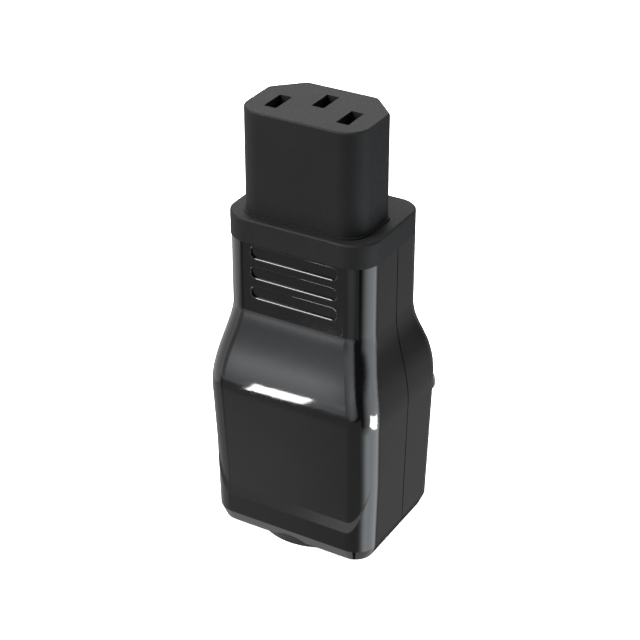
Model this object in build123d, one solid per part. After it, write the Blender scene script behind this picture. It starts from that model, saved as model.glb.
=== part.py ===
"""Rewireable appliance connector: a three-slot nose on a two-shell grip body.

Frame: millimetres, +Z along the cable axis towards the nose, front face towards -Y, origin at the
centre of the round collar's end face, where the cable enters. The connector stands on that face.
"""

from build123d import *
import os

# Contact face: the part that enters the appliance inlet
NOSE_WIDTH = 24.0
NOSE_DEPTH = 16.0
NOSE_FRONT_RADIUS = 4.2
NOSE_CHAMFER = 5.0
NOSE_CHAMFER_RADIUS = 1.2
NOSE_OFFSET_Y = -0.6
NOSE_EDGE = 0.25
CONTACT_PITCH = 14.0
CONTACT_ROW_GAP = 4.0
SLOT_WIDTH = 2.4
SLOT_LENGTH = 5.4
SLOT_WALL = 1.8

# Heights of the outside, up from the collar's end face
NOSE_TOP = 84.3
FLANGE_TOP = 64.7
FLANGE_THICKNESS = 4.5
SHOULDER_TOP = 46.4
FRONT_CREST = 30.6
SIDE_CREST = 29.0
BACK_CREST = 31.0
BAND_TOP = 9.35
BAND_BOTTOM = 7.3
SKIRT_EDGE = 3.3
BODY_BOTTOM = 0.9

# Outside of the two shells, measured from the cable axis
NECK_SIDE = 14.45
NECK_FRONT = 9.8
NECK_BACK = 10.45
CREST_SIDE = 17.25
CREST_FRONT = 13.3
CREST_BACK = 14.0
FOOT_SIDE = 16.55
FOOT_FRONT = 11.75
FOOT_BACK = 13.2
SKIRT_FRONT = 12.65
CORNER_FRONT = 4.4
CORNER_BACK = 3.2
SKIRT_INSET = 1.0
RIM_EDGE = 0.2

# Reach of each swelling's curve at its upper and lower end, as shares of its height
SIDE_SWELL = (0.28, 0.35)
FRONT_SWELL = (0.18, 0.4)
BACK_SWELL = (0.42, 0.5)

# Flange of the contact carrier
FLANGE_LIP = 0.25
FLANGE_LIP_FRONT = 0.5
FLANGE_CORNER_FRONT = 5.2
FLANGE_CORNER_BACK = 4.2
FLANGE_EDGE = 0.25
NOSE_RIM_WIDTH = 0.35
NOSE_RIM_HEIGHT = 0.3

# Shell walls and their joint
WALL = 2.0
SEAM_Y = 1.5
SEAM_GROOVE_DEPTH = 0.22
SEAM_GROOVE_WIDTH = 0.24
TONGUE_THICKNESS = 0.9
TONGUE_DEPTH = 1.2
TONGUE_BOTTOM = 9.0
FIT_GAP = 0.1

# Grip grooves in the front shell
GROOVE_COUNT = 3
GROOVE_PITCH = 3.93
GROOVE_FIRST = 58.3
GROOVE_LENGTH = 17.3
GROOVE_HEIGHT = 2.2
GROOVE_DEPTH = 0.45
GROOVE_LIP = 0.25

# Spigot of the carrier and the groove that the shells hold it by
SPIGOT_DEPTH = 6.0
SPIGOT_GAP = 0.15
RETAIN_DEPTH = 1.1
RETAIN_HEIGHT = 2.0
RETAIN_BELOW_FLANGE = 2.2

# Contact chambers and formed contacts
CHAMBER_WIDTH = 4.2
CHAMBER_LENGTH = 6.4
STRIP = 0.6
STRIP_WIDTH = 4.6
LEAF_SPREAD = 1.8
LEAF_PINCH = 0.55
CONTACT_BASE = 64.0
LEAF_BEND = 70.0
PINCH_BELOW_TOP = 4.2
CONTACT_TOP_GAP = 0.6
TAIL_WIDTH = 4.0

# Retainer plate behind the contacts
PLATE_THICKNESS = 1.8
PLATE_GAP = 0.15
BARRIER_THICKNESS = 0.9
BARRIER_DROP = 9.0
BARRIER_INSET = 0.5
RETAINER_SCREW_RADIUS = 1.1
RETAINER_SCREW_LENGTH = 6.5
RETAINER_HEAD_RADIUS = 1.9
RETAINER_HEAD_HEIGHT = 1.2
RETAINER_FRONT_OFFSET = 2.7
RETAINER_BACK_OFFSET = 2.1
RETAINER_BACK_X = 6.6

# Terminal blocks and their screws
BLOCK_WIDTH = 5.0
BLOCK_DEPTH = 7.0
BLOCK_HEIGHT = 7.0
BLOCK_BELOW_PLATE = 0.6
TAIL_SOCKET = 1.8
WIRE_BORE_RADIUS = 1.6
WIRE_BORE_DEPTH = 4.6
TERMINAL_SCREW_RADIUS = 1.25
TERMINAL_HEAD_RADIUS = 2.0
TERMINAL_HEAD_HEIGHT = 1.3
TERMINAL_HEAD_STANDOFF = 0.4

# Shell screws, their posts and nuts
SHELL_SCREW_X = 13.8
SHELL_SCREW_Z = 27.0
SHELL_SCREW_RADIUS = 1.25
SHELL_HEAD_RADIUS = 2.9
SHELL_HEAD_HEIGHT = 2.0
SHELL_HEAD_SUNK = 0.8
SHELL_POCKET_RADIUS = 3.15
SHELL_SCREW_REACH = 7.0
POST_RADIUS = 3.5
NUT_FLATS = 5.0
NUT_HEIGHT = 2.2

# Collar and grommet
COLLAR_RADIUS = 12.0
COLLAR_NECK_RADIUS = 10.0
COLLAR_RIM_RADIUS = 11.2
COLLAR_BASE_HEIGHT = 3.1
COLLAR_NECK_HEIGHT = 2.2
COLLAR_RIM_HEIGHT = 1.9
COLLAR_EDGE = 0.25
CABLE_RADIUS = 6.5
GROMMET_WALL = 1.5
GROMMET_LIP_RADIUS = 9.6
GROMMET_LIP_HEIGHT = 1.4

# Cord clamp
CLAMP_Z = 17.5
CLAMP_WIDTH = 7.0
CLAMP_SCREW_X = 10.6
CLAMP_SCREW_RADIUS = 1.25
CLAMP_HEAD_RADIUS = 2.3
CLAMP_HEAD_HEIGHT = 1.5
CLAMP_BAR_CROWN = 2.2
CLAMP_BAR_DEPTH = 4.0
CLAMP_BAR_HALF_LENGTH = 13.2
CLAMP_BAR_CORNER = 1.2
CLAMP_POST_RADIUS = 2.7
CLAMP_POST_TOP = 2.5
CLAMP_SCREW_REACH = 8.0
CLAMP_RIDGE = 0.4
CLAMP_RIDGE_WIDTH = 0.8
SADDLE_RIB = 1.2
SADDLE_SPACING = 4.0
SADDLE_HALF_WIDTH = 8.6
SADDLE_TOP = -2.0

# Clearance round a plain screw shank, and the drive recess in a screw head
SHANK_GAP = 0.05
DRIVE_WIDTH = 0.28
DRIVE_LENGTH = 1.15
DRIVE_DEPTH = 0.55
HEAD_RIM = 0.3

# Values that follow from the ones above
FLANGE_BOTTOM = FLANGE_TOP - FLANGE_THICKNESS
LINE_ROW_Y = NOSE_OFFSET_Y - CONTACT_ROW_GAP / 2
EARTH_ROW_Y = NOSE_OFFSET_Y + CONTACT_ROW_GAP / 2
CONTACTS = {
    "line": (CONTACT_PITCH / 2, LINE_ROW_Y),
    "neutral": (-CONTACT_PITCH / 2, LINE_ROW_Y),
    "earth": (0.0, EARTH_ROW_Y),
}
SPIGOT_BOTTOM = FLANGE_BOTTOM - SPIGOT_DEPTH
PLATE_BOTTOM = SPIGOT_BOTTOM - PLATE_THICKNESS
BLOCK_TOP = PLATE_BOTTOM - BLOCK_BELOW_PLATE
BLOCK_BOTTOM = BLOCK_TOP - BLOCK_HEIGHT
RETAINER_SCREWS = [
    (0.0, LINE_ROW_Y - RETAINER_FRONT_OFFSET),
    (-RETAINER_BACK_X, EARTH_ROW_Y + RETAINER_BACK_OFFSET),
    (RETAINER_BACK_X, EARTH_ROW_Y + RETAINER_BACK_OFFSET),
]
COLLAR_NECK_TOP = COLLAR_BASE_HEIGHT + COLLAR_NECK_HEIGHT
COLLAR_TOP = COLLAR_NECK_TOP + COLLAR_RIM_HEIGHT
GROMMET_RADIUS = CABLE_RADIUS + GROMMET_WALL
BACK_TAPER = (CREST_BACK - FOOT_BACK) / (BACK_CREST - BODY_BOTTOM)
SHELL_SEAT_Y = CREST_BACK - BACK_TAPER * (BACK_CREST - SHELL_SCREW_Z) - SHELL_HEAD_SUNK
REACH = 2 * CREST_SIDE


def block(x0, x1, y0, y1, z0, z1):
    """Box between two corners."""
    return Pos((x0 + x1) / 2, (y0 + y1) / 2, (z0 + z1) / 2) * Box(x1 - x0, y1 - y0, z1 - z0)


def rod(radius, z0, z1, x=0.0, y=0.0):
    """Upright cylinder between two heights."""
    return Pos(x, y, (z0 + z1) / 2) * Cylinder(radius, z1 - z0)


def cross_rod(radius, x, z, y0, y1):
    """Cylinder along Y between two depths."""
    return Pos(x, (y0 + y1) / 2, z) * Rot(90, 0, 0) * Cylinder(radius, y1 - y0)


def dome_screw(radius, length, head_radius, head_height):
    """Screw along Z: shank below the origin, domed head with a cross recess above it."""
    cap = head_height * (1 - HEAD_RIM)
    ball = (head_radius**2 + cap**2) / (2 * cap)
    head = rod(head_radius, 0, head_height) & (Pos(0, 0, head_height - ball) * Sphere(ball))
    arm = head_radius * DRIVE_LENGTH
    width = head_radius * DRIVE_WIDTH
    floor = head_height * (1 - DRIVE_DEPTH)
    recess = block(-arm / 2, arm / 2, -width / 2, width / 2, floor, head_height)
    recess += block(-width / 2, width / 2, -arm / 2, arm / 2, floor, head_height)
    return head + rod(radius, -length, 0) - recess


def rounded_outline(side, front, back, front_radius, back_radius):
    """Flat outline about the cable axis, with its own radius at the front and at the back corners."""
    sheet = Pos(0, (back - front) / 2) * Rectangle(2 * side, front + back)
    corners = sheet.vertices()
    sheet = fillet([v for v in corners if v.Y < 0], front_radius)
    corners = sheet.vertices().filter_by(lambda v: abs(v.Y - back) < 1e-6 and abs(v.X) > side - 1e-6)
    return fillet(corners, back_radius)


def s_curve(x0, z0, x1, z1, lean, first, second):
    """Flowing edge from a vertical start to an end that leans with the taper below it."""
    drop = z0 - z1
    upper = (x0, z0 - first * drop)
    lower = (x1 + lean * second * drop, z1 + second * drop)
    return Bezier((x0, z0), upper, lower, (x1, z1))


def half_profile(neck, crest, foot, crest_z, swell, inset):
    """Open edge chain of one side of an outline, from the neck down to the foot."""
    slope = (crest - foot) / (crest_z - BODY_BOTTOM)
    neck -= inset
    crest -= inset
    foot -= inset
    return [
        Line((neck, FLANGE_BOTTOM), (neck, SHOULDER_TOP)),
        s_curve(neck, SHOULDER_TOP, crest, crest_z, slope, *swell),
        Line((crest, crest_z), (foot, BODY_BOTTOM)),
    ]


def closed_profile(right, left):
    """Face between a right-hand edge chain and a mirrored left-hand one."""
    flipped = [edge.mirror(Plane.YZ) for edge in left]
    top = Line(right[0] @ 0, flipped[0] @ 0)
    bottom = Line(right[-1] @ 1, flipped[-1] @ 1)
    return make_face(Wire(right + [bottom] + flipped + [top]))


def long_corners(form, sign):
    """Edges that run down the front (sign -1) or back (sign 1) corners of a grip form."""
    inner = (NECK_BACK + NECK_FRONT) / 4
    edges = form.edges().filter_by(lambda e: e.center().Y * sign > inner and abs(e.tangent_at(0.5).Z) > 0.5)
    return edges.filter_by(lambda e: abs(e.center().X) > NECK_SIDE - CORNER_FRONT)


def grip_form(inset=0.0, front_crest=CREST_FRONT, front_foot=FOOT_FRONT):
    """Solid grip: the front and side outlines crossed, with its four long corners rounded."""
    side = half_profile(NECK_SIDE, CREST_SIDE, FOOT_SIDE, SIDE_CREST, SIDE_SWELL, inset)
    front = half_profile(NECK_FRONT, front_crest, front_foot, FRONT_CREST, FRONT_SWELL, inset)
    back = half_profile(NECK_BACK, CREST_BACK, FOOT_BACK, BACK_CREST, BACK_SWELL, inset)
    across = extrude(Plane.XZ * closed_profile(side, side), REACH, both=True)
    along = extrude(Plane.YZ * closed_profile(back, front), REACH, both=True)
    form = across & along
    form = fillet(long_corners(form, -1), CORNER_FRONT - inset)
    return fillet(long_corners(form, 1), CORNER_BACK - inset)


def skirt_form():
    """Foot of the grip that stands proud of the front panel, under a ledge that rises to the back."""
    slope = (CREST_FRONT - FOOT_FRONT) / (FRONT_CREST - BODY_BOTTOM)
    panel = FOOT_FRONT + slope * (BAND_TOP - BODY_BOTTOM)
    rise = (BAND_TOP - BAND_BOTTOM) / (SKIRT_FRONT - panel)
    out = (-SKIRT_FRONT - 1, BAND_BOTTOM - rise)
    back = (CREST_BACK, BAND_BOTTOM + rise * (SKIRT_FRONT + CREST_BACK))
    below = make_face(Polyline(out, back, (CREST_BACK, 0), (-SKIRT_FRONT - 1, 0), out))
    wedge = extrude(Plane.YZ * below, REACH, both=True)
    return grip_form(0.0, SKIRT_FRONT, SKIRT_FRONT) & wedge & block(-REACH, REACH, -REACH, REACH, 0, SHOULDER_TOP)


def outer_body():
    """Outside of both shells together, with the skirt, its bevelled bottom edge and a softened rim."""
    body = grip_form() + skirt_form()
    body = fillet(body.faces().sort_by(Axis.Z)[-1].edges(), RIM_EDGE)
    floor = body.faces().sort_by(Axis.Z)[0]
    return chamfer(floor.edges(), SKIRT_INSET, SKIRT_EDGE - BODY_BOTTOM, reference=floor)


def collar_seat():
    """Stepped round space in the body's bottom that traps the collar."""
    base = rod(COLLAR_RADIUS + FIT_GAP, -1, COLLAR_BASE_HEIGHT + FIT_GAP)
    neck = rod(COLLAR_NECK_RADIUS + FIT_GAP, 0, COLLAR_NECK_TOP)
    rim = rod(COLLAR_RIM_RADIUS + FIT_GAP, COLLAR_NECK_TOP - FIT_GAP, COLLAR_TOP + FIT_GAP)
    return base + neck + rim


def spigot_outline(inset):
    """Outline of what fits inside the shells' neck, inset from the neck's outside."""
    radii = (CORNER_FRONT - WALL, CORNER_BACK - WALL)
    return rounded_outline(NECK_SIDE - inset, NECK_FRONT - inset, NECK_BACK - inset, *radii)


def retaining_rib():
    """Rib round the inside of the neck that drops into the carrier's groove."""
    top = FLANGE_BOTTOM - RETAIN_BELOW_FLANGE - FIT_GAP
    height = RETAIN_HEIGHT - 2 * FIT_GAP
    outer = extrude(spigot_outline(WALL - FIT_GAP), height)
    inner = extrude(spigot_outline(WALL + RETAIN_DEPTH - FIT_GAP), height)
    return Pos(0, 0, top - height) * (outer - inner)


def grip_grooves():
    """Row of shallow rounded recesses across the front of the neck."""
    sketch = SlotOverall(GROOVE_LENGTH, GROOVE_HEIGHT)
    groove = Rot(90, 0, 0) * extrude(sketch, GROOVE_DEPTH, both=True)
    return [Pos(0, -NECK_FRONT, GROOVE_FIRST - k * GROOVE_PITCH) * groove for k in range(GROOVE_COUNT)]


def groove_lips(shell):
    """Edges of the grip grooves on the flat front of the neck."""
    reach = GROOVE_LENGTH / 2 + GROOVE_LIP
    top = GROOVE_FIRST + GROOVE_HEIGHT / 2 + GROOVE_LIP
    bottom = top - (GROOVE_COUNT - 1) * GROOVE_PITCH - GROOVE_HEIGHT - 2 * GROOVE_LIP
    edges = shell.edges().filter_by(lambda e: abs(e.center().Y + NECK_FRONT) < 1e-6)
    edges = edges.filter_by(lambda e: abs(e.center().X) < reach)
    return edges.filter_by(lambda e: bottom < e.center().Z < top)


def tongue_band(gap):
    """Band in front of the seam, broken at the posts: the tongue or, with a gap, its rebate."""
    ring = grip_form(WALL - TONGUE_THICKNESS - gap) - grip_form(WALL)
    slab = block(-REACH, REACH, SEAM_Y - TONGUE_DEPTH - gap, SEAM_Y, TONGUE_BOTTOM - gap, SHOULDER_TOP + gap)
    for x in (-SHELL_SCREW_X, SHELL_SCREW_X):
        slab -= cross_rod(POST_RADIUS + FIT_GAP - gap, x, SHELL_SCREW_Z, -REACH, REACH)
    return ring & slab


def hollow_body():
    """Both shells' walls as one, hollow, with the collar's seat and the retaining rib."""
    cavity = grip_form(WALL) & block(-REACH, REACH, -REACH, REACH, COLLAR_NECK_TOP, FLANGE_BOTTOM + 1)
    body = outer_body() - cavity - collar_seat() + retaining_rib()
    seam = block(-REACH, REACH, SEAM_Y - SEAM_GROOVE_WIDTH / 2, SEAM_Y + SEAM_GROOVE_WIDTH / 2, 0, FLANGE_BOTTOM)
    return body - (seam - grip_form(SEAM_GROOVE_DEPTH))


def inside_wall(post, depth):
    """Part of a post that lies inside the outer skin."""
    return post & grip_form(depth)


def front_shell(body):
    """Front half: grip grooves, two screw posts with nut pockets, and the cord clamp's seat."""
    shell = body & block(-REACH, REACH, -REACH, SEAM_Y, 0, FLANGE_TOP)
    for x in (-SHELL_SCREW_X, SHELL_SCREW_X):
        shell += inside_wall(cross_rod(POST_RADIUS, x, SHELL_SCREW_Z, -REACH, SEAM_Y), WALL / 2)
    for x in (-CLAMP_SCREW_X, CLAMP_SCREW_X):
        shell += inside_wall(cross_rod(CLAMP_POST_RADIUS, x, CLAMP_Z, -REACH, CLAMP_POST_TOP), WALL / 2)
    for z in (CLAMP_Z - SADDLE_SPACING / 2, CLAMP_Z + SADDLE_SPACING / 2):
        low = z - SADDLE_RIB / 2
        rib = block(-SADDLE_HALF_WIDTH, SADDLE_HALF_WIDTH, -REACH, SADDLE_TOP, low, low + SADDLE_RIB)
        shell += inside_wall(rib - rod(CABLE_RADIUS, 0, SHOULDER_TOP), WALL / 2)
    shell -= tongue_band(FIT_GAP)
    for x in (-SHELL_SCREW_X, SHELL_SCREW_X):
        shell -= cross_rod(SHELL_SCREW_RADIUS + SHANK_GAP, x, SHELL_SCREW_Z, -SHELL_SCREW_REACH - 1, SEAM_Y)
        shell -= nut(NUT_FLATS + FIT_GAP, NUT_HEIGHT + FIT_GAP, 0.0, x)
    for x in (-CLAMP_SCREW_X, CLAMP_SCREW_X):
        shell -= cross_rod(CLAMP_SCREW_RADIUS + SHANK_GAP, x, CLAMP_Z, -CLAMP_SCREW_REACH - 1, CLAMP_POST_TOP)
    for groove in grip_grooves():
        shell -= groove
    return fillet(groove_lips(shell), GROOVE_LIP)


def rear_shell(body):
    """Rear half: tongue along the seam, two screw posts and the pockets of the screw heads."""
    shell = body & block(-REACH, REACH, SEAM_Y, REACH, 0, FLANGE_TOP)
    shell += tongue_band(0.0)
    for x in (-SHELL_SCREW_X, SHELL_SCREW_X):
        shell += inside_wall(cross_rod(POST_RADIUS, x, SHELL_SCREW_Z, SEAM_Y, REACH), WALL / 2)
    for x in (-SHELL_SCREW_X, SHELL_SCREW_X):
        shell -= cross_rod(SHELL_SCREW_RADIUS + SHANK_GAP, x, SHELL_SCREW_Z, SEAM_Y - 1, REACH)
        shell -= cross_rod(SHELL_POCKET_RADIUS, x, SHELL_SCREW_Z, SHELL_SEAT_Y, REACH)
    return shell


def nut(flats, height, bore, x):
    """Hexagonal nut just in front of the seam, or with no bore the pocket that it drops into."""
    sheet = RegularPolygon(flats / 2, 6, major_radius=False, rotation=30)
    if bore:
        sheet -= Circle(bore)
    return Pos(x, SEAM_Y, SHELL_SCREW_Z) * Rot(90, 0, 0) * extrude(sheet, height)


def shell_nuts():
    """Pair of nuts between the posts."""
    bore = SHELL_SCREW_RADIUS + SHANK_GAP
    return [nut(NUT_FLATS, NUT_HEIGHT, bore, x) for x in (-SHELL_SCREW_X, SHELL_SCREW_X)]


def shell_screws():
    """Pair of domed screws that close the body from the back."""
    length = SHELL_SEAT_Y + SHELL_SCREW_REACH
    screw = dome_screw(SHELL_SCREW_RADIUS, length, SHELL_HEAD_RADIUS, SHELL_HEAD_HEIGHT)
    xs = (-SHELL_SCREW_X, SHELL_SCREW_X)
    return [Pos(x, SHELL_SEAT_Y, SHELL_SCREW_Z) * Rot(-90, 0, 0) * screw for x in xs]


def nose_outline(grow=0.0):
    """Contact face: rounded front corners, and 45 degree corners at the earth side."""
    half = NOSE_WIDTH / 2
    front = NOSE_OFFSET_Y - NOSE_DEPTH / 2
    back = NOSE_OFFSET_Y + NOSE_DEPTH / 2
    cut = NOSE_CHAMFER
    right = [(half, front), (half, back - cut), (half - cut, back)]
    left = [(-x, y) for x, y in reversed(right)]
    sheet = make_face(Polyline(*right, *left, close=True))
    sheet = fillet(sheet.vertices().filter_by(lambda v: v.Y < front + 1e-6), NOSE_FRONT_RADIUS)
    soft = sheet.vertices().filter_by(lambda v: v.Y > back - cut - 1e-6)
    sheet = fillet(soft, NOSE_CHAMFER_RADIUS)
    return offset(sheet, grow) if grow else sheet


def contact_carrier():
    """Nose, flange and spigot in one moulding, with three chambers open at the back."""
    nose = Pos(0, 0, FLANGE_TOP) * extrude(nose_outline(), NOSE_TOP - FLANGE_TOP)
    nose = chamfer(nose.faces().sort_by(Axis.Z)[-1].edges(), NOSE_EDGE)
    rim = Pos(0, 0, FLANGE_TOP) * extrude(nose_outline(NOSE_RIM_WIDTH), NOSE_RIM_HEIGHT)
    sizes = (NECK_SIDE + FLANGE_LIP, NECK_FRONT + FLANGE_LIP_FRONT, NECK_BACK + FLANGE_LIP)
    plate = rounded_outline(*sizes, FLANGE_CORNER_FRONT, FLANGE_CORNER_BACK)
    flange = Pos(0, 0, FLANGE_BOTTOM) * extrude(plate, FLANGE_THICKNESS)
    flange = chamfer(flange.faces().sort_by(Axis.Z)[-1].edges(), FLANGE_EDGE)
    spigot = Pos(0, 0, SPIGOT_BOTTOM) * extrude(spigot_outline(WALL + SPIGOT_GAP), SPIGOT_DEPTH)
    groove_top = FLANGE_BOTTOM - RETAIN_BELOW_FLANGE
    waist = extrude(spigot_outline(WALL + SPIGOT_GAP + RETAIN_DEPTH), RETAIN_HEIGHT)
    around = block(-REACH, REACH, -REACH, REACH, groove_top - RETAIN_HEIGHT, groove_top)
    spigot -= around - Pos(0, 0, groove_top - RETAIN_HEIGHT) * waist
    carrier = nose + rim + flange + spigot
    for x, y in CONTACTS.values():
        low, high = y - CHAMBER_LENGTH / 2, y + CHAMBER_LENGTH / 2
        half = CHAMBER_WIDTH / 2
        carrier -= block(x - half, x + half, low, high, SPIGOT_BOTTOM - 1, NOSE_TOP - SLOT_WALL)
        half = SLOT_WIDTH / 2
        low, high = y - SLOT_LENGTH / 2, y + SLOT_LENGTH / 2
        carrier -= block(x - half, x + half, low, high, NOSE_TOP - SLOT_WALL - 1, NOSE_TOP + 1)
    for x, y in RETAINER_SCREWS:
        depth = RETAINER_SCREW_LENGTH - PLATE_THICKNESS + 0.5
        carrier -= rod(RETAINER_SCREW_RADIUS + SHANK_GAP, SPIGOT_BOTTOM - 1, SPIGOT_BOTTOM + depth, x, y)
    return carrier


def formed_contact(x, y):
    """Folded brass strip: two sprung leaves that pinch the pin, on a web with a tail."""
    top = NOSE_TOP - SLOT_WALL - CONTACT_TOP_GAP
    pinch = top - PINCH_BELOW_TOP
    wide, tight = LEAF_SPREAD, LEAF_PINCH
    inner = [(wide - STRIP, CONTACT_BASE + STRIP), (wide - STRIP, LEAF_BEND), (tight, pinch), (wide - STRIP, top)]
    outer = [(wide, top), (tight + STRIP, pinch), (wide, LEAF_BEND), (wide, CONTACT_BASE)]
    right = inner + outer
    left = [(-px, pz) for px, pz in reversed(right)]
    fold = make_face(Polyline(*right, *left, close=True))
    spring = extrude(Plane.XZ * fold, STRIP_WIDTH / 2, both=True)
    half = TAIL_WIDTH / 2
    tail = block(-STRIP / 2, STRIP / 2, -half, half, BLOCK_TOP - TAIL_SOCKET, CONTACT_BASE)
    return Pos(x, y, 0) * (spring + tail)


def contact_retainer():
    """Insulating plate that closes the chambers, with walls between the terminals."""
    inset = WALL + SPIGOT_GAP + PLATE_GAP
    plate = Pos(0, 0, PLATE_BOTTOM) * extrude(spigot_outline(inset), PLATE_THICKNESS)
    front = -(NECK_FRONT - WALL - BARRIER_INSET)
    back = NECK_BACK - WALL - BARRIER_INSET
    half = BARRIER_THICKNESS / 2
    for x in (-CONTACT_PITCH / 4, CONTACT_PITCH / 4):
        plate += block(x - half, x + half, front, back, PLATE_BOTTOM - BARRIER_DROP, PLATE_BOTTOM)
    for x, y in CONTACTS.values():
        half = STRIP / 2 + PLATE_GAP
        deep = TAIL_WIDTH / 2 + PLATE_GAP
        plate -= block(x - half, x + half, y - deep, y + deep, PLATE_BOTTOM - 1, SPIGOT_BOTTOM + 1)
    for x, y in RETAINER_SCREWS:
        plate -= rod(RETAINER_SCREW_RADIUS + PLATE_GAP, PLATE_BOTTOM - 1, SPIGOT_BOTTOM + 1, x, y)
    return plate


def retainer_screws():
    """Three screws that hold the plate to the carrier from behind."""
    sizes = (RETAINER_SCREW_RADIUS, RETAINER_SCREW_LENGTH, RETAINER_HEAD_RADIUS, RETAINER_HEAD_HEIGHT)
    screw = dome_screw(*sizes)
    return [Pos(x, y, PLATE_BOTTOM) * Rot(180, 0, 0) * screw for x, y in RETAINER_SCREWS]


def terminal_block(x, y):
    """Brass block: a socket for the contact's tail, a blind wire bore below and a screw hole behind."""
    half, deep = BLOCK_WIDTH / 2, BLOCK_DEPTH / 2
    body = block(x - half, x + half, y - deep, y + deep, BLOCK_BOTTOM, BLOCK_TOP)
    body = chamfer(body.edges().filter_by(Axis.Z), BLOCK_WIDTH / 10)
    tail = STRIP / 2 + SHANK_GAP
    wide = TAIL_WIDTH / 2 + SHANK_GAP
    body -= block(x - tail, x + tail, y - wide, y + wide, BLOCK_TOP - TAIL_SOCKET, BLOCK_TOP + 1)
    body -= rod(WIRE_BORE_RADIUS, BLOCK_BOTTOM - 1, BLOCK_BOTTOM + WIRE_BORE_DEPTH, x, y)
    height = BLOCK_BOTTOM + WIRE_BORE_DEPTH / 2
    body -= cross_rod(TERMINAL_SCREW_RADIUS + SHANK_GAP, x, height, y, y + BLOCK_DEPTH)
    return body


def terminal_screw(x, y):
    """Clamping screw that bears into the wire bore from behind."""
    seat = y + BLOCK_DEPTH / 2 + TERMINAL_HEAD_STANDOFF
    length = seat - y - WIRE_BORE_RADIUS / 2
    sizes = (TERMINAL_SCREW_RADIUS, length, TERMINAL_HEAD_RADIUS, TERMINAL_HEAD_HEIGHT)
    height = BLOCK_BOTTOM + WIRE_BORE_DEPTH / 2
    return Pos(x, seat, height) * Rot(-90, 0, 0) * dome_screw(*sizes)


def cable_collar():
    """Turned ring in the body's bottom: broad base, neck and inner rim, bored for the grommet."""
    ring = rod(COLLAR_RADIUS, 0, COLLAR_BASE_HEIGHT)
    ring = fillet(ring.edges().sort_by(Axis.Z)[0], COLLAR_EDGE)
    ring += rod(COLLAR_NECK_RADIUS, 0, COLLAR_NECK_TOP)
    ring += rod(COLLAR_RIM_RADIUS, COLLAR_NECK_TOP, COLLAR_TOP)
    return ring - rod(GROMMET_RADIUS + SHANK_GAP, -1, COLLAR_TOP + 1)


def cable_grommet():
    """Rubber sleeve round the cable, with a lip that rests on the collar's rim."""
    top = COLLAR_TOP + GROMMET_LIP_HEIGHT
    sleeve = rod(GROMMET_RADIUS, 0, top)
    sleeve += rod(GROMMET_LIP_RADIUS, COLLAR_TOP, top)
    return sleeve - rod(CABLE_RADIUS, -1, top + 1)


def cord_clamp_bar():
    """Arched bar that presses the cable onto the saddle, with two gripping ridges."""
    back = CABLE_RADIUS + CLAMP_BAR_CROWN
    front = back - CLAMP_BAR_DEPTH
    low, high = CLAMP_Z - CLAMP_WIDTH / 2, CLAMP_Z + CLAMP_WIDTH / 2
    bar = block(-CLAMP_BAR_HALF_LENGTH, CLAMP_BAR_HALF_LENGTH, front, back, low, high)
    bar = fillet(bar.edges().filter_by(Axis.Y), CLAMP_BAR_CORNER)
    bar -= rod(CABLE_RADIUS, low - 1, high + 1)
    for z in (CLAMP_Z - CLAMP_WIDTH / 4, CLAMP_Z + CLAMP_WIDTH / 4):
        start = z - CLAMP_RIDGE_WIDTH / 2
        ridge = rod(CABLE_RADIUS + CLAMP_RIDGE, start, start + CLAMP_RIDGE_WIDTH)
        ridge -= rod(CABLE_RADIUS - CLAMP_RIDGE, start - 1, z + 1)
        bar += ridge & block(-REACH, REACH, front + CLAMP_RIDGE, back, low, high)
    for x in (-CLAMP_SCREW_X, CLAMP_SCREW_X):
        bar -= cross_rod(CLAMP_SCREW_RADIUS + SHANK_GAP, x, CLAMP_Z, 0, back + 1)
    return bar


def cord_clamp_screws():
    """Pair of screws that draw the bar towards the posts."""
    seat = CABLE_RADIUS + CLAMP_BAR_CROWN
    length = seat + CLAMP_SCREW_REACH
    screw = dome_screw(CLAMP_SCREW_RADIUS, length, CLAMP_HEAD_RADIUS, CLAMP_HEAD_HEIGHT)
    return [Pos(x, seat, CLAMP_Z) * Rot(-90, 0, 0) * screw for x in (-CLAMP_SCREW_X, CLAMP_SCREW_X)]


def all_parts():
    """Every piece of the connector by its node's name."""
    body = hollow_body()
    parts = {
        "contact_carrier": contact_carrier(),
        "contact_retainer": contact_retainer(),
        "retainer_screws": retainer_screws(),
        "front_shell": front_shell(body),
        "rear_shell": rear_shell(body),
        "shell_screws": shell_screws(),
        "shell_nuts": shell_nuts(),
        "cable_collar": cable_collar(),
        "cable_grommet": cable_grommet(),
        "cord_clamp_bar": cord_clamp_bar(),
        "cord_clamp_screws": cord_clamp_screws(),
    }
    for name, (x, y) in CONTACTS.items():
        parts[name + "_contact"] = formed_contact(x, y)
        parts[name + "_terminal"] = terminal_block(x, y)
        parts[name + "_terminal_screw"] = terminal_screw(x, y)
    return parts


os.makedirs("parts", exist_ok=True)
for node, shape in all_parts().items():
    pieces = shape if isinstance(shape, list) else [shape]
    export_step(Compound(children=[s for piece in pieces for s in piece.solids()]), "parts/" + node + ".step")
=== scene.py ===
"""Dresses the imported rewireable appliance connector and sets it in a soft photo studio.

The CAD frame is the object's own: +Z runs from the cable end to the contact face, the front
of the grip looks along -Y, and all lengths here are metres unless a name says millimetres.
"""

import logging
import math
from dataclasses import dataclass, field
from enum import Enum

import bpy
import numpy as np
from mathutils import Matrix, Quaternion, Vector

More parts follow.
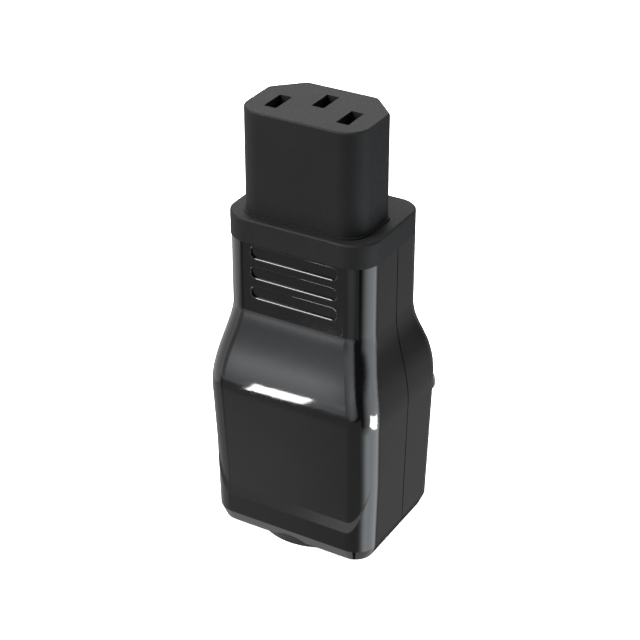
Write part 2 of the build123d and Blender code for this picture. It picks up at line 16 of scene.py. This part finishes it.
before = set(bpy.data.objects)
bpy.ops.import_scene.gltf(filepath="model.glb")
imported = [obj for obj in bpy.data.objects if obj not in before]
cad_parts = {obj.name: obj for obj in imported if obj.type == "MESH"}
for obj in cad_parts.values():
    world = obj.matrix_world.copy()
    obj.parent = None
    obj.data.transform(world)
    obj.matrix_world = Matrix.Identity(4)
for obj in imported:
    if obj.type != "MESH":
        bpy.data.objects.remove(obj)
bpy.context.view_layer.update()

log = logging.getLogger("connector")

MM = 0.001
WHITE = "#ffffff"
COOL_WHITE = "#f5fbff"
# A noise's values crowd round the middle: this is the part of 0 to 1 that they fill.
NOISE_LOW, NOISE_HIGH = 0.25, 0.75
# The sockets of Mix and Math nodes go by number, because their names repeat.
MIX_FACTOR, MIX_FIRST, MIX_SECOND, MIX_RESULT = 0, 6, 7, 2
# The narrowest step at a lamp's edge, as a share of its cloth.
HEM = 1e-4
RGBA = tuple[float, float, float, float]
Point = tuple[float, float, float]


class Slot(Enum):
    """The record's material slots, by what is made of them."""

    CARRIER = "carrier_plastic"
    SHELL = "shell_plastic"
    COLLAR = "collar_plastic"
    GROMMET = "grommet_rubber"
    CONTACT = "contact_brass"
    SCREW = "plated_screw"


class Lay(Enum):
    """Which way the marks of a metal's making run, as the pattern's stretch along X, Y and Z."""

    ROLLED_ALONG_Z = (1.0, 1.0, 0.06)
    TUMBLED = (1.0, 1.0, 1.0)


class Layers(Enum):
    """How many finer layers a noise carries, by what it stands for."""

    WAVE = 1.0
    GRAIN = 2.0
    MARKS = 3.0
    CLOUD = 4.0


def linear(colour: str) -> RGBA:
    """Turns an sRGB hex colour into the linear numbers that shaders take.

    Args:
        colour: six hex digits after a hash sign.

    Returns:
        Linear red, green and blue, with an alpha of one.
    """
    parts = [int(colour[i : i + 2], 16) / 255 for i in (1, 3, 5)]
    # The sRGB standard's own numbers: a straight foot, and a power curve above it.
    curve = [c / 12.92 if c <= 0.04045 else ((c + 0.055) / 1.055) ** 2.4 for c in parts]
    return (curve[0], curve[1], curve[2], 1.0)


def add_node(
    tree: bpy.types.NodeTree,
    kind: str,
    settings: dict[str, object] | None = None,
    values: dict[str | int, object] | None = None,
    links: dict[str | int, bpy.types.NodeSocket] | None = None,
) -> bpy.types.Node:
    """Adds one shader node, with its settings, its constants and what feeds it.

    Args:
        tree: the node tree it goes into.
        kind: Blender's name for the node type.
        settings: properties of the node.
        values: constants on its input sockets.
        links: the output socket that feeds each linked input.

    Returns:
        The new node.
    """
    node = tree.nodes.new(kind)
    for name, value in (settings or {}).items():
        setattr(node, name, value)
    for name, value in (values or {}).items():
        node.inputs[name].default_value = value
    for name, source in (links or {}).items():
        tree.links.new(source, node.inputs[name])
    return node


def new_tree(name: str) -> tuple[bpy.types.Material, bpy.types.NodeTree]:
    """Makes an empty node material.

    Args:
        name: the material's name.

    Returns:
        The material and its node tree.
    """
    material = bpy.data.materials.new(name)
    material.use_nodes = True
    material.node_tree.nodes.clear()
    return material, material.node_tree


@dataclass(frozen=True)
class MouldedPlastic:
    """An injection moulding: its skin copies the tool's own surface.

    The grain is the tool's etched or polished texture, and the ripple is the slow waviness that
    shrinkage leaves, which makes a gloss wall's reflections swim a little. The cloud is the
    faint paleness of uneven pigment.
    """

    name: str
    colour: str
    pale: str
    roughness: float
    spread: float
    ior: float
    specular: float
    grain_mm: float
    grain_depth_mm: float
    ripple_mm: float
    ripple_depth_mm: float
    cloud_mm: float = 9.0
    cloud_start: float = 0.3
    cloud_end: float = 0.75

    def build(self) -> bpy.types.Material:
        """Makes the material.

        Returns:
            The finished material.
        """
        material, tree = new_tree(self.name)
        place = add_node(tree, "ShaderNodeTexCoord").outputs["Object"]
        cloud, grain, ripple = (
            add_node(
                tree,
                "ShaderNodeTexNoise",
                values={"Scale": 1 / (size_mm * MM), "Detail": layers.value},
                links={"Vector": place},
            ).outputs["Fac"]
            for size_mm, layers in (
                (self.cloud_mm, Layers.CLOUD),
                (self.grain_mm, Layers.GRAIN),
                (self.ripple_mm, Layers.WAVE),
            )
        )
        flow = add_node(
            tree,
            "ShaderNodeMapRange",
            values={"From Min": self.cloud_start, "From Max": self.cloud_end},
            links={"Value": cloud},
        ).outputs["Result"]
        colour = add_node(
            tree,
            "ShaderNodeMix",
            settings={"data_type": "RGBA"},
            values={MIX_FIRST: linear(self.colour), MIX_SECOND: linear(self.pale)},
            links={MIX_FACTOR: flow},
        ).outputs[MIX_RESULT]
        gloss = add_node(
            tree,
            "ShaderNodeMapRange",
            values={
                "From Min": NOISE_LOW,
                "From Max": NOISE_HIGH,
                "To Min": self.roughness - self.spread,
                "To Max": self.roughness + self.spread,
            },
            links={"Value": grain},
        ).outputs["Result"]
        wave = add_node(
            tree,
            "ShaderNodeBump",
            values={"Strength": 1.0, "Distance": self.ripple_depth_mm * MM},
            links={"Height": ripple},
        ).outputs["Normal"]
        skin = add_node(
            tree,
            "ShaderNodeBump",
            values={"Strength": 1.0, "Distance": self.grain_depth_mm * MM},
            links={"Height": grain, "Normal": wave},
        ).outputs["Normal"]
        shader = add_node(
            tree,
            "ShaderNodeBsdfPrincipled",
            values={"IOR": self.ior, "Specular IOR Level": self.specular},
            links={"Base Color": colour, "Roughness": gloss, "Normal": skin},
        )
        add_node(
            tree,
            "ShaderNodeOutputMaterial",
            links={"Surface": shader.outputs["BSDF"]},
        )
        return material


@dataclass(frozen=True)
class WorkedMetal:
    """A metal part with the fine marks of its making and a bloom of tarnish."""

    name: str
    colour: str
    tarnish: str
    roughness: float
    spread: float
    mark_mm: float
    mark_depth_mm: float
    lay: Lay
    bloom_mm: float = 2.5

    def build(self) -> bpy.types.Material:
        """Makes the material.

        Returns:
            The finished material.
        """
        material, tree = new_tree(self.name)
        place = add_node(tree, "ShaderNodeTexCoord").outputs["Object"]
        drawn = add_node(
            tree,
            "ShaderNodeMapping",
            values={"Scale": self.lay.value},
            links={"Vector": place},
        ).outputs["Vector"]
        marks, bloom = (
            add_node(
                tree,
                "ShaderNodeTexNoise",
                values={"Scale": 1 / (size_mm * MM), "Detail": layers.value},
                links={"Vector": where},
            ).outputs["Fac"]
            for size_mm, layers, where in (
                (self.mark_mm, Layers.MARKS, drawn),
                (self.bloom_mm, Layers.CLOUD, place),
            )
        )
        colour = add_node(
            tree,
            "ShaderNodeMix",
            settings={"data_type": "RGBA"},
            values={MIX_FIRST: linear(self.colour), MIX_SECOND: linear(self.tarnish)},
            links={MIX_FACTOR: bloom},
        ).outputs[MIX_RESULT]
        polish = add_node(
            tree,
            "ShaderNodeMapRange",
            values={
                "From Min": NOISE_LOW,
                "From Max": NOISE_HIGH,
                "To Min": self.roughness - self.spread,
                "To Max": self.roughness + self.spread,
            },
            links={"Value": marks},
        ).outputs["Result"]
        skin = add_node(
            tree,
            "ShaderNodeBump",
            values={"Strength": 1.0, "Distance": self.mark_depth_mm * MM},
            links={"Height": marks},
        ).outputs["Normal"]
        shader = add_node(
            tree,
            "ShaderNodeBsdfPrincipled",
            values={"Metallic": 1.0},
            links={"Base Color": colour, "Roughness": polish, "Normal": skin},
        )
        add_node(
            tree,
            "ShaderNodeOutputMaterial",
            links={"Surface": shader.outputs["BSDF"]},
        )
        return material


# Polybutylene terephthalate from a spark-eroded tool: an even matt black with a fine grain
# that lifts its top faces to dark grey under the overhead light.
MATT_PBT = MouldedPlastic(
    name="black spark-eroded PBT",
    colour="#161616",
    pale="#1b1b1b",
    roughness=0.66,
    spread=0.06,
    ior=1.55,
    specular=0.16,
    grain_mm=0.35,
    grain_depth_mm=0.012,
    ripple_mm=6.0,
    ripple_depth_mm=0.01,
)

# ABS from a polished tool: a near-black skin whose grey comes from what it mirrors.
GLOSS_ABS = MouldedPlastic(
    name="black polished ABS",
    colour="#070708",
    pale="#0b0b0c",
    roughness=0.085,
    spread=0.02,
    ior=1.52,
    specular=0.5,
    grain_mm=0.5,
    grain_depth_mm=0.0006,
    ripple_mm=7.0,
    ripple_depth_mm=0.012,
)

# Nylon turned out of a blasted tool: satin, a little paler than the grip.
SATIN_NYLON = MouldedPlastic(
    name="black satin nylon",
    colour="#1d1d1e",
    pale="#262627",
    roughness=0.38,
    spread=0.05,
    ior=1.53,
    specular=0.5,
    grain_mm=0.4,
    grain_depth_mm=0.004,
    ripple_mm=5.0,
    ripple_depth_mm=0.01,
)

# Moulded nitrile rubber: dull, with a dry bloom.
NITRILE_RUBBER = MouldedPlastic(
    name="black nitrile rubber",
    colour="#161616",
    pale="#222222",
    roughness=0.72,
    spread=0.08,
    ior=1.52,
    specular=0.4,
    grain_mm=0.5,
    grain_depth_mm=0.02,
    ripple_mm=4.0,
    ripple_depth_mm=0.02,
)

# Cold-rolled brass strip and bar: warm yellow, drawn lines along its length.
ROLLED_BRASS = WorkedMetal(
    name="rolled brass",
    colour="#d9b46a",
    tarnish="#b98f4c",
    roughness=0.3,
    spread=0.07,
    mark_mm=0.25,
    mark_depth_mm=0.002,
    lay=Lay.ROLLED_ALONG_Z,
)

# Barrel-plated nickel on steel: pale grey with a breath of yellow, dulled by the tumbling.
BARREL_NICKEL = WorkedMetal(
    name="barrel-plated nickel",
    colour="#cdccca",
    tarnish="#b2b0ad",
    roughness=0.3,
    spread=0.06,
    mark_mm=0.3,
    mark_depth_mm=0.002,
    lay=Lay.TUMBLED,
)


@dataclass(frozen=True)
class Dress:
    """What a group of CAD pieces is finished in."""

    finish: MouldedPlastic | WorkedMetal
    slot: Slot

    def put_on(self, *names: str) -> None:
        """Dresses the named CAD pieces.

        Args:
            names: CAD nodes that share the finish.
        """
        material = bpy.data.materials.get(self.finish.name) or self.finish.build()
        for name in names:
            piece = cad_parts[name]
            piece.data.materials.clear()
            piece.data.materials.append(material)
            log.info("%s: %s", name, self.finish.name)


@dataclass
class ContactHead:
    """The nose and flange with the three contacts, their terminals and the plate behind them."""

    body: Dress = field(default_factory=lambda: Dress(MATT_PBT, Slot.CARRIER))
    metal: Dress = field(default_factory=lambda: Dress(ROLLED_BRASS, Slot.CONTACT))
    screws: Dress = field(default_factory=lambda: Dress(BARREL_NICKEL, Slot.SCREW))
    poles: tuple[str, ...] = ("line", "neutral", "earth")

    def dress(self) -> None:
        """Puts the finishes on the head's pieces."""
        self.body.put_on("contact_carrier", "contact_retainer")
        self.metal.put_on(*(f"{pole}_contact" for pole in self.poles))
        self.metal.put_on(*(f"{pole}_terminal" for pole in self.poles))
        self.screws.put_on(*(f"{pole}_terminal_screw" for pole in self.poles))
        self.screws.put_on("retainer_screws")


@dataclass
class Grip:
    """The two gloss shells with the screws and nuts that hold them together."""

    skin: Dress = field(default_factory=lambda: Dress(GLOSS_ABS, Slot.SHELL))
    screws: Dress = field(default_factory=lambda: Dress(BARREL_NICKEL, Slot.SCREW))

    def dress(self) -> None:
        """Puts the finishes on the grip's pieces."""
        self.skin.put_on("front_shell", "rear_shell")
        self.screws.put_on("shell_screws", "shell_nuts")


@dataclass
class CableEntry:
    """The collar, the rubber sleeve in it and the clamp above it."""

    body: Dress = field(default_factory=lambda: Dress(SATIN_NYLON, Slot.COLLAR))
    sleeve: Dress = field(default_factory=lambda: Dress(NITRILE_RUBBER, Slot.GROMMET))
    screws: Dress = field(default_factory=lambda: Dress(BARREL_NICKEL, Slot.SCREW))

    def dress(self) -> None:
        """Puts the finishes on the cable end's pieces."""
        self.body.put_on("cable_collar", "cord_clamp_bar")
        self.sleeve.put_on("cable_grommet")
        self.screws.put_on("cord_clamp_screws")


@dataclass(frozen=True)
class Softbox:
    """A rectangular lamp that shows in gloss but not in the picture itself.

    The azimuth says which way it stands from the cable axis, in degrees, with 0 at +X and
    turning towards +Y, and the reach how far off. It stands upright between the heights low
    and high, or with faces_height it tips back to face that height on the axis. The radiance
    is how bright its cloth looks. soft_start, soft_end and fade_up are the shares of the cloth
    over which it fades out at either side and at its top. lean slants its sides, as a share of
    its width, roll turns it about the line to the axis, and spread narrows its beam, which
    keeps a near lamp out of steeply seen walls, both in degrees.
    """

    name: str
    azimuth: float
    reach: float
    low: float
    high: float
    width: float
    radiance: float
    faces_height: float | None = None
    soft_start: float = 0.0
    soft_end: float = 0.0
    fade_up: float = 0.0
    lean: float = 0.0
    roll: float = 0.0
    spread: float = 180.0
    tint: str = WHITE

    def veil(self, data: bpy.types.AreaLight) -> None:
        """Fades the cloth towards its sides and its top, by smooth steps.

        On a leaning cloth, how far across a point lies is counted along the slant.

        Args:
            data: the lamp's data, whose cloth runs from 0 to 1 across and up.
        """
        data.use_nodes = True
        tree = data.node_tree
        tree.nodes.clear()
        cloth = add_node(tree, "ShaderNodeNewGeometry").outputs["Parametric"]
        parts = add_node(tree, "ShaderNodeSeparateXYZ", links={"Vector": cloth}).outputs
        across = add_node(
            tree,
            "ShaderNodeMath",
            settings={"operation": "MULTIPLY_ADD"},
            values={1: -self.lean},
            links={0: parts["Y"], 2: parts["X"]},
        ).outputs["Value"]
        start = (abs(self.lean) - self.lean) / 2
        end = 1.0 - (abs(self.lean) + self.lean) / 2
        shares = [
            add_node(
                tree,
                "ShaderNodeMapRange",
                settings={"interpolation_type": "SMOOTHSTEP"},
                values={
                    "From Min": min(dark, bright),
                    "From Max": max(dark, bright),
                    "To Min": float(dark > bright),
                    "To Max": float(dark < bright),
                },
                links={"Value": value},
            ).outputs["Result"]
            for value, dark, bright in (
                (across, start, start + self.soft_start + HEM),
                (across, end, end - self.soft_end - HEM),
                (parts["Y"], 1.0, 1.0 - self.fade_up - HEM),
            )
        ]
        strength = shares[0]
        for share in shares[1:]:
            strength = add_node(
                tree,
                "ShaderNodeMath",
                settings={"operation": "MULTIPLY"},
                links={0: strength, 1: share},
            ).outputs["Value"]
        glow = add_node(tree, "ShaderNodeEmission", links={"Strength": strength})
        add_node(
            tree,
            "ShaderNodeOutputLight",
            links={"Surface": glow.outputs["Emission"]},
        )

    def build(self) -> None:
        """Hangs the lamp, whose power is its radiance times pi times the area of its cloth."""
        turn = math.radians(self.azimuth)
        middle = (self.low + self.high) / 2
        place = Vector((self.reach * math.cos(turn), self.reach * math.sin(turn), middle))
        target = middle if self.faces_height is None else self.faces_height
        look = Vector((0.0, 0.0, target)) - place
        tall = self.high - self.low
        if self.faces_height is not None:
            # A tipped cloth is made longer, so that it still fills its two heights.
            tall /= math.cos(math.atan2(abs(look.z), self.reach))
        data = bpy.data.lights.new(self.name, "AREA")
        data.shape = "RECTANGLE"
        data.size = self.width
        data.size_y = tall
        data.energy = self.radiance * math.pi * self.width * tall
        data.spread = math.radians(self.spread)
        data.color = linear(self.tint)[:3]
        if self.soft_start or self.soft_end or self.fade_up or self.lean:
            self.veil(data)
        lamp = bpy.data.objects.new(self.name, data)
        lamp.location = place
        turned = Quaternion((0.0, 0.0, 1.0), math.radians(self.roll))
        lamp.rotation_euler = (look.to_track_quat("-Z", "Y") @ turned).to_euler()
        lamp.visible_camera = False
        bpy.context.scene.collection.objects.link(lamp)
        log.info("lamp: %s", self.name)


LAMPS = (
    # From above: the nose's top face and the flange.
    Softbox(
        name="overhead",
        azimuth=150,
        reach=0.16,
        low=0.50,
        high=0.62,
        width=0.36,
        radiance=5.0,
        faces_height=0.04,
    ),
    # A sheen on the matt top faces.
    Softbox(
        name="back sheen",
        azimuth=112,
        reach=0.42,
        low=0.18,
        high=0.46,
        width=0.50,
        radiance=3.2,
        faces_height=0.06,
    ),
    # The dark grey of the lower front, lighter at its left.
    Softbox(
        name="front low",
        azimuth=270,
        reach=0.45,
        low=-0.65,
        high=-0.165,
        width=0.90,
        radiance=0.30,
        soft_start=0.1,
        soft_end=0.1,
    ),
    Softbox(
        name="left low",
        azimuth=228,
        reach=0.45,
        low=-0.65,
        high=-0.23,
        width=0.28,
        radiance=0.27,
        soft_start=0.3,
        soft_end=0.4,
        fade_up=0.3,
    ),
    # The light rim down the left side.
    Softbox(
        name="left glow",
        azimuth=180,
        reach=0.45,
        low=-0.65,
        high=0.15,
        width=1.00,
        radiance=0.55,
        soft_start=0.2,
        soft_end=0.2,
        fade_up=0.1,
    ),
    Softbox(
        name="left upper",
        azimuth=186,
        reach=0.45,
        low=-0.21,
        high=0.15,
        width=0.80,
        radiance=0.55,
        soft_start=0.3,
        soft_end=0.3,
        fade_up=0.2,
    ),
    # The grey of the swelling front, in steps up its slope and towards its right end.
    Softbox(
        name="front base",
        azimuth=255,
        reach=0.45,
        low=-0.165,
        high=0.25,
        width=0.90,
        radiance=0.6,
        soft_start=0.1,
        soft_end=0.3,
        fade_up=0.2,
    ),
    Softbox(
        name="front step",
        azimuth=255,
        reach=0.45,
        low=-0.165,
        high=0.02,
        width=0.90,
        radiance=0.5,
        soft_start=0.1,
        soft_end=0.3,
        fade_up=0.6,
    ),
    Softbox(
        name="front right",
        azimuth=267,
        reach=0.45,
        low=-0.02,
        high=0.24,
        width=0.62,
        radiance=1.2,
        soft_start=0.28,
        soft_end=0.28,
        fade_up=0.7,
        roll=180,
        tint=COOL_WHITE,
    ),
    # The band above the skirt.
    Softbox(
        name="ledge light",
        azimuth=249,
        reach=0.45,
        low=-0.125,
        high=-0.075,
        width=0.06,
        radiance=0.8,
        soft_start=0.4,
        soft_end=0.4,
        fade_up=0.3,
    ),
    # Near lamps: the panel of light with crisp ends on the swelling front, and its right end.
    Softbox(
        name="front panel",
        azimuth=247,
        reach=0.062,
        low=0.005,
        high=0.046,
        width=0.044,
        radiance=0.23,
        soft_start=0.35,
        soft_end=0.35,
        fade_up=0.36,
        spread=56,
        tint=COOL_WHITE,
    ),
    Softbox(
        name="panel end",
        azimuth=278,
        reach=0.062,
        low=0.0098,
        high=0.0498,
        width=0.058,
        radiance=0.2,
        soft_start=0.42,
        soft_end=0.1,
        fade_up=0.5,
        roll=20,
        spread=72,
        tint=COOL_WHITE,
    ),
    # The bright bar on the crest.
    Softbox(
        name="front strip",
        azimuth=249.6,
        reach=0.037,
        low=0.0203,
        high=0.0260,
        width=0.0145,
        radiance=24.0,
        lean=0.19,
    ),
    # The tall highlight down the front corner, and the bright square in it.
    Softbox(
        name="corner glow",
        azimuth=5,
        reach=0.45,
        low=-0.65,
        high=0.14,
        width=0.90,
        radiance=3.1,
        soft_start=0.5,
        soft_end=0.25,
        fade_up=0.15,
        tint=COOL_WHITE,
    ),
    Softbox(
        name="corner low",
        azimuth=333,
        reach=0.45,
        low=-0.65,
        high=-0.20,
        width=0.50,
        radiance=2.0,
        soft_start=0.5,
        soft_end=0.5,
        fade_up=0.3,
        tint=COOL_WHITE,
    ),
    Softbox(
        name="corner square",
        azimuth=356,
        reach=0.045,
        low=0.0125,
        high=0.0225,
        width=0.0235,
        radiance=22.0,
        roll=-14,
    ),
    # The right wall.
    Softbox(
        name="side low",
        azimuth=66,
        reach=0.45,
        low=-0.65,
        high=-0.05,
        width=0.40,
        radiance=0.27,
        soft_start=0.1,
        soft_end=0.1,
        fade_up=0.15,
    ),
    # From below: the chamfer at the foot.
    Softbox(
        name="under",
        azimuth=193,
        reach=0.22,
        low=-0.52,
        high=-0.34,
        width=0.22,
        radiance=0.8,
        faces_height=0.0,
    ),
    Softbox(
        name="under corner",
        azimuth=60,
        reach=0.16,
        low=-0.564,
        high=-0.436,
        width=0.36,
        radiance=0.6,
        faces_height=0.0,
    ),
    # The fine bright lines on the grooves' lips and the right side's edges.
    Softbox(
        name="edge light",
        azimuth=229,
        reach=0.34,
        low=0.30,
        high=0.50,
        width=0.16,
        radiance=25.0,
        faces_height=0.04,
    ),
    Softbox(
        name="right edge light",
        azimuth=56,
        reach=0.45,
        low=0.24,
        high=0.32,
        width=0.10,
        radiance=12.0,
        faces_height=0.06,
    ),
)


@dataclass
class Studio:
    """The pale floor, the air's own light, the lamps and the camera."""

    floor_flat: float = 1.2
    floor_bend: float = 0.6
    floor_top: float = 1.5
    floor_sides: int = 96
    floor_steps: int = 13
    floor_colour: str = "#f4f4f4"
    floor_roughness: float = 0.9
    floor_glow: float = 0.9
    air: float = 0.04
    lens_mm: float = 102.49
    sensor_mm: float = 36.0
    clip_start: float = 0.01
    camera_place: Point = (0.14282, -0.24647, 0.20666)
    camera_right: Point = (0.86480, 0.50211, 0.0)
    camera_up: Point = (-0.25106, 0.43240, 0.86602)
    camera_back: Point = (0.43484, -0.74894, 0.5)
    lamps: tuple[Softbox, ...] = LAMPS

    def floor_mesh(self) -> bpy.types.Mesh:
        """Makes the floor's surface: a disc whose rim bends up to a low wall all round.

        Along the bend, a ring's radius grows by the bend's own radius times the sine of its
        angle, and its height by that radius times one minus the cosine.

        Returns:
            The mesh, with its faces looking up and inwards.
        """
        angle = np.linspace(0.0, math.pi / 2, self.floor_steps)
        rim = self.floor_flat + self.floor_bend
        radii = np.append(self.floor_flat + self.floor_bend * np.sin(angle), rim)
        heights = np.append(self.floor_bend * (1.0 - np.cos(angle)), self.floor_top)
        turn = np.linspace(0.0, math.tau, self.floor_sides, endpoint=False)
        points = np.stack(
            (
                np.outer(radii, np.cos(turn)),
                np.outer(radii, np.sin(turn)),
                np.outer(heights, np.ones_like(turn)),
            ),
            axis=-1,
        )
        ring = np.arange(self.floor_sides)
        after = np.roll(ring, -1)
        below = self.floor_sides * np.arange(len(radii) - 1)[:, None]
        above = below + self.floor_sides
        quads = np.stack((below + ring, above + ring, above + after, below + after), axis=-1)
        faces = [ring.tolist(), *quads.reshape(-1, 4).tolist()]
        mesh = bpy.data.meshes.new("floor")
        mesh.from_pydata(points.reshape(-1, 3).tolist(), [], faces)
        mesh.shade_smooth()
        return mesh

    def lay_floor(self) -> None:
        """Lays the floor, which shows in the picture but not in the object's gloss."""
        floor = bpy.data.objects.new("floor", self.floor_mesh())
        bpy.context.scene.collection.objects.link(floor)
        # Acrylic sheet lit from below, as on a product photographer's table: an even near white.
        material, tree = new_tree("translucent acrylic table")
        shader = add_node(
            tree,
            "ShaderNodeBsdfPrincipled",
            values={
                "Base Color": linear(self.floor_colour),
                "Roughness": self.floor_roughness,
                "Emission Color": linear(WHITE),
                "Emission Strength": self.floor_glow,
            },
        )
        add_node(
            tree,
            "ShaderNodeOutputMaterial",
            links={"Surface": shader.outputs["BSDF"]},
        )
        floor.data.materials.append(material)
        floor.visible_glossy = False
        floor.visible_shadow = False
        floor.visible_diffuse = False
        log.info("floor laid")

    def fill_air(self) -> None:
        """Sets the even light that comes from all round."""
        world = bpy.data.worlds.new("studio air")
        world.use_nodes = True
        world.node_tree.nodes.clear()
        sky = add_node(
            world.node_tree,
            "ShaderNodeBackground",
            values={"Color": linear(WHITE), "Strength": self.air},
        )
        add_node(
            world.node_tree,
            "ShaderNodeOutputWorld",
            links={"Surface": sky.outputs["Background"]},
        )
        bpy.context.scene.world = world

    def set_camera(self) -> None:
        """Sets the camera where the photograph was taken from."""
        data = bpy.data.cameras.new("camera")
        data.sensor_width = self.sensor_mm
        data.lens = self.lens_mm
        data.clip_start = self.clip_start
        camera = bpy.data.objects.new("camera", data)
        axes = Matrix((self.camera_right, self.camera_up, self.camera_back)).transposed()
        camera.matrix_world = Matrix.Translation(self.camera_place) @ axes.to_4x4()
        bpy.context.scene.collection.objects.link(camera)
        bpy.context.scene.camera = camera
        bpy.context.scene.view_settings.view_transform = "Standard"

    def build(self) -> None:
        """Sets up the whole studio."""
        self.lay_floor()
        self.fill_air()
        for lamp in self.lamps:
            lamp.build()
        self.set_camera()


def main() -> None:
    """Dresses every sub-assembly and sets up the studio."""
    logging.basicConfig(level=logging.INFO, format="%(name)s: %(message)s")
    for assembly in (ContactHead(), Grip(), CableEntry()):
        assembly.dress()
    Studio().build()


if __name__ == "__main__":
    main()
